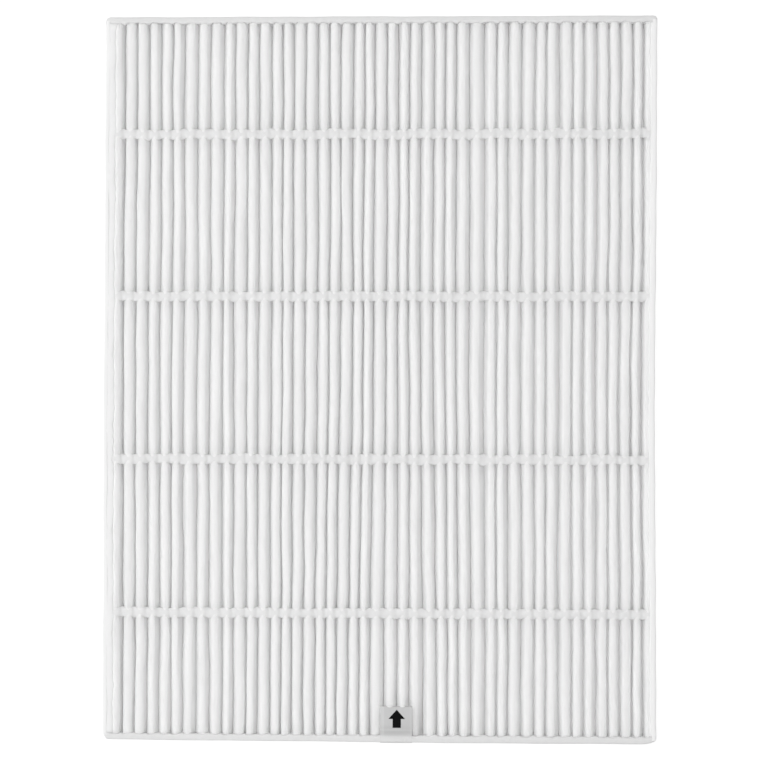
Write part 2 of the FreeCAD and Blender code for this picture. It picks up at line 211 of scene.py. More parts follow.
def settle(points):
    """Moves points sideways. The right edge moves in by RIGHT_PULL times a bell curve in y. The left one
    moves out by LEFT_STAND at every height, plus LEFT_PUSH times the same bell. Either move falls off
    with the fourth power of the share of the way to the other edge. The lower left corner is lifted by
    the square of the share to the left, times the fourth power of the share downwards."""
    x, y = points[..., 0], points[..., 1]
    across = np.clip((x + HALF_WIDTH) / (2 * HALF_WIDTH), 0, 1)
    bell = np.exp(-((y - PULL_MIDDLE) / PULL_REACH) ** 2)
    downwards = np.clip(-y / HALF_HEIGHT, 0, 1)
    moved = points.copy()
    moved[..., 0] -= bell * RIGHT_PULL * across ** 4
    moved[..., 0] -= (LEFT_STAND + LEFT_PUSH * bell) * (1 - across) ** 4
    moved[..., 1] += CORNER_LIFT * (1 - across) ** 2 * downwards ** 4
    return moved


straight = np.array([[-HALF_WIDTH, PULL_MIDDLE, 0], [HALF_WIDTH, PULL_MIDDLE, 0]])
print("left and right edge move by", np.round((settle(straight) - straight)[:, 0], 2), "mm")

# %% [markdown]
# The camera
#
# The filter lies on its back, and the camera looks down on it from two metres, a little from the right
# and from the lower edge. That small angle matters: at the left one sees down the flank of each pleat,
# and at the right straight into the valleys. The lens is set from the width of the view at the front
# face, so its angle follows from the distance.

# %% Camera
PICTURE_SIDE = 760
FRONT_FACE = TOP_HIGH[2]
CAMERA_DISTANCE = 2000.0
CAMERA_FROM_RIGHT = math.radians(3.1)
CAMERA_FROM_BELOW = math.radians(1.4)
CAMERA_ROLL = math.radians(0.18)
VIEW_WIDTH = 399.3
AIM = np.array([-0.1, -0.7, FRONT_FACE])

towards = np.array([
    math.sin(CAMERA_FROM_RIGHT) * math.cos(CAMERA_FROM_BELOW),
    -math.sin(CAMERA_FROM_BELOW),
    math.cos(CAMERA_FROM_RIGHT) * math.cos(CAMERA_FROM_BELOW),
])
right = np.cross(-towards, [0, 1, 0])
right /= np.linalg.norm(right)
up = np.cross(right, -towards)
turned_right = math.cos(CAMERA_ROLL) * right + math.sin(CAMERA_ROLL) * up
turned_up = math.cos(CAMERA_ROLL) * up - math.sin(CAMERA_ROLL) * right

lens = bpy.data.cameras.new("camera")
lens.sensor_fit = "HORIZONTAL"
lens.sensor_width = 36.0
lens.lens = lens.sensor_width * CAMERA_DISTANCE / VIEW_WIDTH
lens.clip_start = 0.05
lens.clip_end = 20.0
camera = bpy.data.objects.new("camera", lens)
bpy.context.collection.objects.link(camera)
pose = np.eye(4)
pose[:3, 0] = turned_right
pose[:3, 1] = turned_up
pose[:3, 2] = towards
pose[:3, 3] = (AIM + CAMERA_DISTANCE * towards) * MM
camera.matrix_world = Matrix(pose.tolist())
bpy.context.scene.camera = camera
print("lens", round(lens.lens, 1), "mm, one pixel is", round(VIEW_WIDTH / PICTURE_SIDE, 3), "mm")

# %% [markdown]
# The folds
#
# A pleat pack is one sheet, so its cross-section is one line: up a flank, over a round ridge, down the
# next flank, round the fold at the back, and up again. Each ridge has its own width, so the ridges are
# laid out first: widths are drawn, the gaps between them are drawn, and the gaps are scaled until the
# row is as wide as the pack. The first ridge is wider, because it was pressed against the side strip.
# The film tab was ironed over exactly two ridges, so the row is shifted there until a valley lies under
# the tab's middle, and near the tab the ridges are spread a little apart. One ridge repeated by an Array
# modifier would be quicker, but its sameness would show at once.

# %% How the ridges are laid out
RIDGES = 45
MEDIA_THICKNESS = 0.6
RIDGE_HALF = 1.92
RIDGE_UNEVEN = 0.13
GAP_UNEVEN = 0.2
WIDTH_REACH = (-1.6, 1.9)
GAP_REACH = (-1.6, 1.8)
FIRST_RIDGE_SHARE = 1.2
TAB_MIDDLE = (TAB_LOW[0] + TAB_HIGH[0]) / 2
SHIFT_REACH = 60.0
SPREAD = 0.17
SPREAD_REACH = 30.0
ROW_SEED = 11

draw = np.random.default_rng(ROW_SEED)
half_drawn = RIDGE_HALF * (1 + RIDGE_UNEVEN * np.clip(draw.normal(size=RIDGES), *WIDTH_REACH))
half_drawn[0] = RIDGE_HALF * FIRST_RIDGE_SHARE
gap_drawn = 1 + GAP_UNEVEN * np.clip(draw.normal(size=RIDGES - 1), *GAP_REACH)
pack_width = MEDIA_HIGH[0] - MEDIA_LOW[0]
gap_share = (pack_width - 2 * half_drawn.sum()) / gap_drawn.sum()
gaps = gap_drawn * gap_share
left_shoulder = MEDIA_LOW[0] + np.concatenate([[0], np.cumsum(2 * half_drawn[:-1] + gaps)])
ridge_x = left_shoulder + half_drawn
valley_x = (ridge_x[1:] + ridge_x[:-1]) / 2
nearest = valley_x[np.abs(valley_x - TAB_MIDDLE).argmin()]
ridge_x += (TAB_MIDDLE - nearest) * np.exp(-((ridge_x - TAB_MIDDLE) / SHIFT_REACH) ** 2)
width_range = np.round([2 * half_drawn.min(), 2 * half_drawn.max()], 2)
print(RIDGES, "ridges of", width_range, "mm, gaps of", np.round([gaps.min(), gaps.max()], 2), "mm")

# %% [markdown]
# Along each ridge
#
# The glue strings and the two ends hold the sheet, and in between it swells and wanders. So every ridge
# has a middle line and a half width that change along it. The same functions serve the sheet, the strings
# and the seams, so these always meet.

# %% Middle line and half width of every ridge
FRONT_TOP = MEDIA_HIGH[2]
BACK_TOP = MEDIA_LOW[2]
LOW_END_IN_GLUE = 0.4
END_LOW, END_HIGH = MEDIA_LOW[1] - LOW_END_IN_GLUE, MEDIA_HIGH[1]
STOPS = [END_LOW] + sorted(FRONT_GLUE) + [END_HIGH]
SPREAD_STOP = 70.0
HOLD_REACH = 9.0
HELD_SHARE = 0.985
DRIFT, DRIFT_WAVES = 0.18, (260, 170)
WANDER, WANDER_WAVES = 0.15, (130, 78, 44)
SWELL, SWELL_WAVES = 0.026, (84, 47, 25)
HELD_SWELL = 0.3


def tab_spread(y):
    """How the ridges stand apart near the tab: each moves away from the tab's middle by SPREAD times its
    distance d, times exp(-(d / reach)^2), all the way at the lower end and not at all above SPREAD_STOP.
    Gives the moves, and their slopes, which are the shares by which the ridges widen."""
    distance = (ridge_x - TAB_MIDDLE)[:, None]
    fade = SPREAD * np.exp(-(distance / SPREAD_REACH) ** 2) * (1 - step(y, END_LOW, SPREAD_STOP))
    return fade * distance, fade * (1 - 2 * (distance / SPREAD_REACH) ** 2)


def ridge_middle(y, seed=21):
    """Place across the pack of every ridge at each y: its own place, plus the spread at the tab, a slow
    drift, and a wander that is nothing where the sheet is held. One row per ridge."""
    slow = wobble(seed, RIDGES, y, DRIFT_WAVES, DRIFT)
    wander = wobble(seed + 1, RIDGES, y, WANDER_WAVES, WANDER) * held(y, STOPS, HOLD_REACH)
    return ridge_x[:, None] + tab_spread(y)[0] + slow + wander


def ridge_half(y, seed=31):
    """Half width of every ridge at each y: its own, wider at the tab, pinched a little where the sheet
    is held, and swelling unevenly between."""
    free = held(y, STOPS, HOLD_REACH)
    swell = wobble(seed, RIDGES, y, SWELL_WAVES, SWELL) * (HELD_SWELL + (1 - HELD_SWELL) * free)
    return half_drawn[:, None] * (HELD_SHARE + (1 - HELD_SHARE) * free + swell + tab_spread(y)[1])


at_ends = ridge_half(np.array([END_LOW, END_HIGH]))
print("half widths at the lower end", np.round([at_ends[:, 0].min(), at_ends[:, 0].max()], 2))

# %% [markdown]
# How high each ridge stands
#
# The crests lie a little below the box and are pressed down under each string. Under the film tab they
# are crushed further, which makes the round ends that show just above the tab, and one ridge beside the
# tab was dented when the film was ironed on. All these presses have soft edges, or they would look cut.

# %% Height of every ridge
TAB_TOP = TAB_HIGH[1]
CREST_BELOW_BOX = 0.12
CREST_UNEVEN, CREST_WAVES = 0.10, (120, 64, 33)
STRING_PRESS = 0.12
STRING_PRESS_REACH = 4.5
END_DROP = 0.45
END_DROP_REACH = 1.1
TAB_PRESS = 1.4
PRESS_LEFT = (-2.2, 0.6)
PRESS_RIGHT = (-0.6, 1.6)
PRESS_TOP = (-1.3, 0.5)
BESIDE_TAB = 1.0
DENTED_RIDGE = int((ridge_x < TAB_HIGH[0] - BESIDE_TAB).sum())
DENT_DEPTH = 1.4
DENT_TOP = (-8.0, 7.0)


def under_tab(x, y):
    """1 under the film tab and 0 outside it: a smooth step over each of its left, right and upper edges."""
    from_left = step(x, TAB_LOW[0] + PRESS_LEFT[0], TAB_LOW[0] + PRESS_LEFT[1])
    to_right = 1 - step(x, TAB_HIGH[0] + PRESS_RIGHT[0], TAB_HIGH[0] + PRESS_RIGHT[1])
    return from_left * to_right * (1 - step(y, TAB_TOP + PRESS_TOP[0], TAB_TOP + PRESS_TOP[1]))


def ridge_height(y, x, seed=41):
    """Height of the crest of every ridge: the front of the pack, less a press under each glue string, a
    drop at the cut ends, the crush under the tab and the dent, and with a soft unevenness."""
    free = held(y, STOPS[1:-1], STRING_PRESS_REACH)
    ends = held(y, [END_LOW, END_HIGH], END_DROP_REACH)
    crushed = under_tab(x, y)
    uneven = wobble(seed, RIDGES, y, CREST_WAVES, CREST_UNEVEN) * free * (1 - crushed)
    dented = (np.arange(RIDGES) == DENTED_RIDGE)[:, None]
    dent = dented * (1 - step(y, TAB_TOP + DENT_TOP[0], TAB_TOP + DENT_TOP[1]))
    lowered = STRING_PRESS * (1 - free) + END_DROP * (1 - ends) + TAB_PRESS * crushed + DENT_DEPTH * dent
    return FRONT_TOP - CREST_BELOW_BOX + uneven - lowered


print("dented ridge", DENTED_RIDGE, "of", RIDGES)

# %% [markdown]
# The sheet itself
#
# The crown of a ridge is half a slightly flattened ellipse, and below it the flanks are puffed out, so
# that a valley narrows to a slit a few millimetres down. The back folds are made the same way, upside
# down. The line through the middle of the sheet is worked out first, then pushed out and in by half the
# thickness along its own normal to give the two faces. A Solidify modifier could do the same from the
# middle line, but the faces are wanted here, so that the ridges are exactly as wide as they were drawn.
# Rows of points crowd together near the strings and ends, where the form changes.

# %% Crowns and back folds
CROWN_STEPS = 7
CROWN_POWER = 2.35
CROWN_HEIGHT = 1.9
FOLD_STEPS = 3
FOLD_HALF = 1.62
FOLD_HEIGHT = 1.7
FOLD_DRIFT, FOLD_DRIFT_WAVES = 0.18, (90, 52)
FOLD_SWELL, FOLD_SWELL_WAVES = 0.06, (70, 41)
FOLD_UNEVEN, FOLD_WAVES = 0.07, (110, 60)
BACK_PRESS = 0.35
BACK_PRESS_REACH = 3.2
BACK_END_DROP = 0.8
BACK_END_REACH = 1.3


def round_over(turn, power):
    """A superellipse quarter for each angle: cosine and sine with their sizes raised to 2 / power."""
    side, rise = np.cos(turn), np.sin(turn)
    return np.sign(side) * np.abs(side) ** (2 / power), np.abs(rise) ** (2 / power)


def crowns(y):
    """Each ridge's crown at each y, from its left to its right shoulder: half a superellipse of the
    ridge's half width and CROWN_HEIGHT, along the middle of the sheet."""
    middle = ridge_middle(y)
    half = ridge_half(y) - MEDIA_THICKNESS / 2
    top = ridge_height(y, middle) - MEDIA_THICKNESS / 2
    side, rise = round_over(np.linspace(np.pi, 0, CROWN_STEPS + 1), CROWN_POWER)
    return middle[..., None] + half[..., None] * side, top[..., None] - CROWN_HEIGHT + CROWN_HEIGHT * rise


def back_folds(y, seed=51):
    """Each back fold at each y: half a superellipse that hangs between two ridges, pressed in under the
    back strings and drawn in at the cut ends. Gives its middle too."""
    middle = ridge_middle(y)
    between = (middle[1:] + middle[:-1]) / 2 + wobble(seed, RIDGES - 1, y, FOLD_DRIFT_WAVES, FOLD_DRIFT)
    swell = wobble(seed + 1, RIDGES - 1, y, FOLD_SWELL_WAVES, FOLD_SWELL)
    half = FOLD_HALF * (1 + swell) - MEDIA_THICKNESS / 2
    low = BACK_TOP + MEDIA_THICKNESS / 2 + CREST_BELOW_BOX
    low = low + wobble(seed + 2, RIDGES - 1, y, FOLD_WAVES, FOLD_UNEVEN)
    low = low + BACK_PRESS * (1 - held(y, BACK_GLUE, BACK_PRESS_REACH))
    low = low + BACK_END_DROP * (1 - held(y, [END_LOW, END_HIGH], BACK_END_REACH))
    side, rise = round_over(np.linspace(np.pi, 0, FOLD_STEPS + 1), CROWN_POWER)
    fold_x = between[..., None] + half[..., None] * side
    return fold_x, low[..., None] + FOLD_HEIGHT - FOLD_HEIGHT * rise, between


print("crown tops at mid height", np.round(crowns(np.zeros(1))[1].max(axis=-1).ravel()[:4], 2), "and on")

# %% The line of the folded sheet
SLIT_AT = np.array([0.06, 0.15, 0.6])
SLIT_HALF = np.array([1.05, 0.4, 0.62])
FLANK_LEAN, LEAN_WAVES = 0.08, (80, 47)
FOOT_STEPS = 4


def pleat_line(y, seed=54):
    """The middle line of the sheet at each y, as rows of x and of z. For each ridge come its crown, three
    points down the flank, the back fold and three points up the next flank. The three lie SLIT_AT of the
    way down, at most SLIT_HALF from the valley's middle. The first and last flank end at the back."""
    crown_x, crown_z = crowns(y)
    fold_x, fold_z, between = back_folds(y)
    lean = wobble(seed, RIDGES - 1, y, LEAN_WAVES, FLANK_LEAN)[..., None]
    shoulder, next_shoulder = crown_x[:-1, :, -1:], crown_x[1:, :, :1]
    slit_x = (shoulder + next_shoulder) / 2 * (1 - SLIT_AT) + between[..., None] * SLIT_AT + lean
    slit_half = np.minimum(SLIT_HALF, (next_shoulder - shoulder) / 2)
    down_x, up_x = slit_x - slit_half, slit_x + slit_half
    down_z = crown_z[:-1, :, -1:] * (1 - SLIT_AT) + fold_z[..., :1] * SLIT_AT
    up_z = crown_z[1:, :, :1] * (1 - SLIT_AT) + fold_z[..., -1:] * SLIT_AT
    pleat_x = np.concatenate([crown_x[:-1], down_x, fold_x, up_x[..., ::-1]], axis=-1)
    pleat_z = np.concatenate([crown_z[:-1], down_z, fold_z, up_z[..., ::-1]], axis=-1)

    pleats_x = np.moveaxis(pleat_x, 0, 1).reshape(len(y), -1)
    pleats_z = np.moveaxis(pleat_z, 0, 1).reshape(len(y), -1)
    foot = np.linspace(BACK_TOP, FRONT_TOP - CROWN_HEIGHT, FOOT_STEPS + 1)[:-1]
    first_x = np.repeat(crown_x[0, :, :1], FOOT_STEPS, axis=1)
    last_x = np.repeat(crown_x[-1, :, -1:], FOOT_STEPS, axis=1)
    feet = np.repeat(foot[None, :], len(y), axis=0)
    whole_x = np.concatenate([first_x, pleats_x, crown_x[-1], last_x], axis=1)
    whole_z = np.concatenate([feet, pleats_z, crown_z[-1], feet[:, ::-1]], axis=1)
    return whole_x, whole_z


print("points along the folded line:", pleat_line(np.zeros(1))[0].shape[1])

# %% Pleated media
ROWS_IN_BAY = 11
ROWS_AT_TAB = (1.0, 0.4, -0.2, -0.8)


def crowded_rows(stops, count):
    """Places along the pleats: between two stops they run as (1 - cos(pi t)) / 2, so they crowd at both."""
    t = (1 - np.cos(np.pi * np.arange(count) / count)) / 2
    bays = [low + (high - low) * t for low, high in zip(stops[:-1], stops[1:])]
    return np.concatenate(bays + [[stops[-1]]])


rows_y = np.sort(np.concatenate([crowded_rows(STOPS, ROWS_IN_BAY), TAB_TOP + np.array(ROWS_AT_TAB)]))
line_x, line_z = pleat_line(rows_y)
slope_x = np.gradient(line_x, axis=1)
slope_z = np.gradient(line_z, axis=1)
length = np.hypot(slope_x, slope_z)
out_x, out_z = -slope_z / length, slope_x / length
line_y = np.repeat(rows_y[:, None], line_x.shape[1], axis=1)
half_thick = MEDIA_THICKNESS / 2
front = np.stack([line_x + half_thick * out_x, line_y, line_z + half_thick * out_z], axis=-1)
back = np.stack([line_x - half_thick * out_x, line_y, line_z - half_thick * out_z], axis=-1)
media = sheet_piece("pleated_sheet", settle(front), settle(back))
print("pleated sheet:", front.shape[:2], "points a side,", triangles(media), "triangles")

# %% [markdown]
# Glue strings
#
# Hot melt is drawn across the ridges as a thin thread while the sheet is still open. It lies flush on
# each crest with edges that thin out to nothing, fills the valleys almost to the top and creeps along
# the shoulders before it sets. A bevelled curve would have the same section all along. So a string is a
# row of elliptic rings: narrow and sunk deep into a ridge, so that only a thin lens shows on it, and
# wider across a valley.

# %% Front and back glue strings
GLUE_ON_RIDGE = 2.3
GLUE_IN_VALLEY = 2.75
GLUE_RUN = 0.15
GLUE_COVER = 0.07
GLUE_UNDER = 0.9
GLUE_SAG = 0.35
GLUE_DIP = 1.2
GLUE_TAPER = 1.3
EDGE_DROP = 0.4
GLUE_IN_STRIP = 0.2
GLUE_LUMPS, GLUE_WAVES = (0.06, 0.025, 0.16), (31, 13, 5.2)
CLOSING_POWER = 220
BACK_CREST_BELOW = 0.32
VALLEY_EDGE = (-0.55, 1.0)
STATIONS_PER_PLEAT = 12
RING_POINTS = 14
FRONT_SEED, BACK_SEED = 60, 70


def valley_share(x, middle, half):
    """For each x: 0 on a ridge, rising to 1 half-way across the valley beside it."""
    distance = np.abs(x[:, None] - middle[None, :])
    nearest = distance.argmin(axis=1)
    over = distance[np.arange(len(x)), nearest] - half[nearest]
    return step(over, *VALLEY_EDGE)


def glue_string(name, y0, middle, half, crest, outwards, seed):
    """Rings along the string. At each x the ring is a lens in y and z, an ellipse whose heights are
    raised to the power GLUE_TAPER. Its half length in y goes from GLUE_ON_RIDGE to GLUE_IN_VALLEY, and
    it has run GLUE_RUN towards the lower end. Its top lies GLUE_COVER above the crest, and GLUE_SAG
    lower over a valley. Its bottom lies in the sheet on a crest and GLUE_DIP lower in a valley. Its thin
    edges lie half-way up on a crest and near the bottom in a valley, where they run out along the
    flanks. The lumps change its width, its top and its line by the three sizes of GLUE_LUMPS, and both
    its ends close in a tight curve of the power CLOSING_POWER."""
    x = np.linspace(LEFT_HIGH[0] - GLUE_IN_STRIP, RIGHT_LOW[0] + GLUE_IN_STRIP, RIDGES * STATIONS_PER_PLEAT)
    valley = valley_share(x, middle, half)
    lumps = wobble(seed, 3, x, GLUE_WAVES, 1.0)
    reach = (GLUE_ON_RIDGE + (GLUE_IN_VALLEY - GLUE_ON_RIDGE) * valley) * (1 + GLUE_LUMPS[0] * lumps[0])
    top = crest + GLUE_COVER - GLUE_SAG * valley + GLUE_LUMPS[1] * lumps[1]
    bottom = crest - GLUE_UNDER - GLUE_DIP * valley
    closing = np.sqrt(1 - np.abs(np.linspace(-1, 1, len(x))) ** CLOSING_POWER)
    turn = np.linspace(0, 2 * np.pi, RING_POINTS, endpoint=False)
    rise = np.sign(np.sin(turn)) * np.abs(np.sin(turn)) ** GLUE_TAPER
    line = y0 - GLUE_RUN + GLUE_LUMPS[2] * lumps[2]
    ring_y = line[:, None] + (reach * closing)[:, None] * np.cos(turn)
    edge_z = bottom + (top - bottom) * (0.5 - EDGE_DROP * valley)
    upper, lower = ((top - edge_z) * closing)[:, None], ((edge_z - bottom) * closing)[:, None]
    ring_z = edge_z[:, None] + np.where(rise > 0, upper, lower) * rise
    if outwards < 0:
        ring_z = ring_z[:, ::-1] * outwards
        ring_y = ring_y[:, ::-1]
    ring_x = np.repeat(x[:, None], RING_POINTS, axis=1)
    return string_piece(name, settle(np.stack([ring_x, ring_y, ring_z], axis=-1)))


glue = []
front_crest = FRONT_TOP - CREST_BELOW_BOX - STRING_PRESS
for number, y0 in enumerate(FRONT_GLUE, start=1):
    middle, half = ridge_middle(np.array([y0]))[:, 0], ridge_half(np.array([y0]))[:, 0]
    piece = glue_string(f"front_glue_{number}", y0, middle, half, front_crest, 1, FRONT_SEED + number)
    glue.append((piece, f"front_bead_{number}"))
back_crest = -BACK_TOP - BACK_CREST_BELOW
for number, y0 in enumerate(BACK_GLUE, start=1):
    middle = ridge_middle(np.array([y0]))[:, 0]
    between, half = (middle[1:] + middle[:-1]) / 2, np.full(RIDGES - 1, FOLD_HALF)
    piece = glue_string(f"back_glue_{number}", y0, between, half, back_crest, -1, BACK_SEED + number)
    glue.append((piece, f"back_bead_{number}"))
print("glue strings:", len(glue), "of", triangles(glue[0][0]), "triangles each")

# %% [markdown]
# Edge strips
#
# The four strips are felt-like non-woven, cut from a roll and ironed on with glue. Their outer cut edges
# are soft and round, while the inner ones run flush into the glue beside them. A box with a Bevel
# modifier would be straight and evenly round. So a section with two sorts of rounding is carried along
# each side of the filter, and its ends follow ellipses of their own, because no two corners of the real
# one are alike.

# %% The section of a strip, and its rings
FLUSH_ROUND = 0.12
CORNER_POINTS = 4
SIDE_POINTS = 7
ROUND_SHARE = 0.9


def strip_loop(points_per_side):
    """The outline of a strip's section, as shares: which side of the middle a point lies on, in
    thickness and in depth, and the direction in which the edge rounding carries it. Four rounded
    corners follow each other, and the inner and outer face get points_per_side points between them."""
    turn = np.linspace(0, np.pi / 2, CORNER_POINTS)
    level = np.linspace(-1, 1, points_per_side + 2)[1:-1]
    side, depth, out_side, out_depth = [], [], [], []
    for quarter, (a, b) in enumerate([(1, 1), (-1, 1), (-1, -1), (1, -1)]):
        angle = turn + quarter * np.pi / 2
        side.append(np.full(CORNER_POINTS, float(a)))
        depth.append(np.full(CORNER_POINTS, float(b)))
        out_side.append(np.cos(angle))
        out_depth.append(np.sin(angle))
        if quarter in (1, 3):
            side.append(np.full(points_per_side, float(a)))
            depth.append(level * -b)
            out_side.append(np.full(points_per_side, float(a)))
            out_depth.append(np.zeros(points_per_side))
    return [np.concatenate(part) for part in (side, depth, out_side, out_depth)]


def strip_rings(along, outer, thickness, low, high, outer_round, inner_round, points_per_side=SIDE_POINTS):
    """Rings of a strip that runs along one direction: its outer face lies at outer, its inner one a
    thickness further in, and it reaches from low to high. The two faces have roundings of their own.
    Gives rings of (along, across, height)."""
    side, depth, out_side, out_depth = strip_loop(points_per_side)
    half = (thickness / 2)[:, None]
    middle = outer[:, None] - half
    rounding = np.minimum(np.where(side > 0, outer_round, inner_round), half * ROUND_SHARE)
    across = middle + (half - rounding) * side + rounding * out_side
    middle_z, half_z = (high + low)[:, None] / 2, (high - low)[:, None] / 2
    height = middle_z + (half_z - rounding) * depth + rounding * out_depth
    return np.stack([np.repeat(along[:, None], len(side), axis=1), across, height], axis=-1)


print("points round a strip's section:", len(strip_loop(SIDE_POINTS)[0]))

# %% End strips
def corner_inset(along, half_length, first, last):
    """How far a strip's outer face turns in along it: at either end a quarter ellipse, whose run along
    the strip and depth across it are given."""
    inset = np.zeros_like(along)
    for sign, (run, drop) in ((-1, first), (1, last)):
        past = np.clip((sign * along - (half_length - run)) / run, 0, 1)
        inset += drop * (1 - np.sqrt(1 - past ** 2))
    return inset


OUT_BELOW_BOX = 0.12
TOP_BELOW_BOX = 0.10
FOOT_ABOVE_BOX = 0.05
END_ROUND = 0.65
END_STATIONS = 260
CROWDING = 0.35
END_LUMPS, END_WAVES = (0.06, 0.06, 0.08, 0.03), (140, 47, 19)
TOP_CORNERS = ((2.7, 1.9), (2.4, 1.6))
BOTTOM_CORNERS = ((2.2, 1.5), (8.5, 2.8))
BOTTOM_SHORT = 1.1
BOTTOM_THIN = 0.55


def end_strip(name, low, high, sign, corners, seed, short=0.0, thin=0.0):
    """The strip along the upper or lower end. Its outer face wanders softly and turns in at the
    corners; its inner face keeps the strip's thickness. Its left end may stop short of the corner, and
    it may be thinner there, by the square of the share to the left."""
    middle, half_width = (low[0] + short + high[0]) / 2, (high[0] - low[0] - short) / 2
    share = np.linspace(-1, 1, END_STATIONS)
    along = half_width * (CROWDING * np.sin(share * np.pi / 2) + (1 - CROWDING) * share)
    x = middle + along
    lumps = wobble(seed, 4, x, END_WAVES, 1.0)
    outer = max(abs(low[1]), abs(high[1])) - OUT_BELOW_BOX - corner_inset(along, half_width, *corners)
    outer = outer + END_LUMPS[0] * lumps[0] - thin * ((1 - share) / 2) ** 2
    thickness = (high[1] - low[1]) * (1 + END_LUMPS[1] * lumps[1])
    top = high[2] - TOP_BELOW_BOX + END_LUMPS[2] * lumps[2]
    bottom = low[2] + FOOT_ABOVE_BOX + END_LUMPS[3] * lumps[3]
    rings = strip_rings(x, outer, thickness, bottom, top, END_ROUND, FLUSH_ROUND)
    if sign < 0:
        rings = rings[:, ::-1] * np.array([1, -1, 1])
    return string_piece(name, settle(rings))


top_strip = end_strip("top_strip", TOP_LOW, TOP_HIGH, sign=1, corners=TOP_CORNERS, seed=81)
bottom_strip = end_strip("bottom_strip", BOTTOM_LOW, BOTTOM_HIGH, sign=-1, corners=BOTTOM_CORNERS, seed=82,
                         short=BOTTOM_SHORT, thin=BOTTOM_THIN)
print("end strips:", triangles(top_strip), "triangles each")

# %% Side strips
SIDE_ROUND = 0.4
SIDE_STATIONS = 150
SIDE_LUMPS, SIDE_WAVES = (0.07, 0.05, 0.08, 0.03), (150, 61, 27)
LEFT_CORNERS = ((3.2, 1.1), (1.5, 0.4))
RIGHT_CORNERS = ((1.5, 0.4), (1.5, 0.4))


def side_strip(name, low, high, sign, corners, seed):
    """The strip along the left or right side, between the end strips, with a soft wander of its faces.
    Its outer face turns in at the lower and the upper corner."""
    y = crowded_rows([low[1], high[1]], SIDE_STATIONS)
    lumps = wobble(seed, 4, y, SIDE_WAVES, 1.0)
    outer = max(abs(low[0]), abs(high[0])) - OUT_BELOW_BOX - corner_inset(y, high[1], *corners)
    outer = outer + SIDE_LUMPS[0] * lumps[0]
    thickness = (high[0] - low[0]) * (1 + SIDE_LUMPS[1] * lumps[1])
    top = high[2] - TOP_BELOW_BOX + SIDE_LUMPS[2] * lumps[2]
    bottom = low[2] + FOOT_ABOVE_BOX + SIDE_LUMPS[3] * lumps[3]
    rings = strip_rings(y, outer, thickness, bottom, top, SIDE_ROUND, FLUSH_ROUND)[..., [1, 0, 2]]
    rings = rings * np.array([-1, 1, 1]) if sign < 0 else rings[:, ::-1]
    return string_piece(name, settle(rings))


left_strip = side_strip("left_strip", LEFT_LOW, LEFT_HIGH, sign=-1, corners=LEFT_CORNERS, seed=83)
right_strip = side_strip("right_strip", RIGHT_LOW, RIGHT_HIGH, sign=1, corners=RIGHT_CORNERS, seed=84)
print("side strips:", triangles(left_strip), "triangles each")

# %% [markdown]
# Seams
#
# Between the pleat ends and the end strips stands a wall of glue. It was soft when the strip was
# ironed on, so its top is nearly flush with the felt, falls off in a round edge to the pleats, and runs
# a little further into every valley, which leaves a scalloped line. At the sides the glue fills the
# groove between the strip and the shoulder of the first or the last ridge. The section of the strips
# serves here too, with a wide rounding on the side of the pleats.

# %% Seams at the two ends
SEAM_BURIED = 0.4
SEAM_SIDE_POINTS = 3
END_SEAM_BELOW_FELT = 0.22
END_SEAM_SHOULDER = 0.9
END_SEAM_LUMPS, END_SEAM_WAVES = (0.14, 0.10, 0.06), (37, 11, 4.3)
SEAM_IN_PACK = 0.1
SEAM_IN_VALLEY = 0.4


def end_seam(name, sign, seed):
    """The wall of glue at one end: its outer face is buried in the strip, its inner face stands in the
    pleat ends and runs further in at the middle of each valley."""
    node = "top_seam" if sign > 0 else "bottom_seam"
    low, high = box_mm(node)
    end = END_HIGH if sign > 0 else END_LOW
    x = np.linspace(low[0], high[0], RIDGES * STATIONS_PER_PLEAT)
    at = np.array([end])
    valley = valley_share(x, ridge_middle(at)[:, 0], ridge_half(at)[:, 0])
    lumps = wobble(seed, 3, x, END_SEAM_WAVES, 1.0)
    outer = np.full(len(x), max(abs(low[1]), abs(high[1])) + SEAM_BURIED)
    inner = abs(end) - SEAM_IN_PACK - SEAM_IN_VALLEY * valley
    inner = inner - END_SEAM_LUMPS[0] * lumps[0] - END_SEAM_LUMPS[1] * lumps[1]
    top = TOP_HIGH[2] - END_SEAM_BELOW_FELT + END_SEAM_LUMPS[2] * lumps[2]
    foot = np.full(len(x), low[2])
    rings = strip_rings(x, outer, outer - inner, foot, top, FLUSH_ROUND, END_SEAM_SHOULDER, SEAM_SIDE_POINTS)
    if sign < 0:
        rings = rings[:, ::-1] * np.array([1, -1, 1])
    return string_piece(name, settle(rings)), node


end_seams = [end_seam("top_glue_seam", sign=1, seed=91), end_seam("bottom_glue_seam", sign=-1, seed=92)]
print("end seams:", [triangles(piece) for piece, _ in end_seams], "triangles")

# %% Seams at the two sides
SIDE_SEAM_STATIONS = 220
SIDE_SEAM_BELOW_FELT = 0.28
SIDE_SEAM_SHOULDER = 1.4
SIDE_SEAM_LUMPS, SIDE_SEAM_WAVES = (0.05, 0.04, 0.12), (53, 17, 6.1)
LEFT_SEAM_CREEP = 1.9
RIGHT_SEAM_CREEP = 0.9


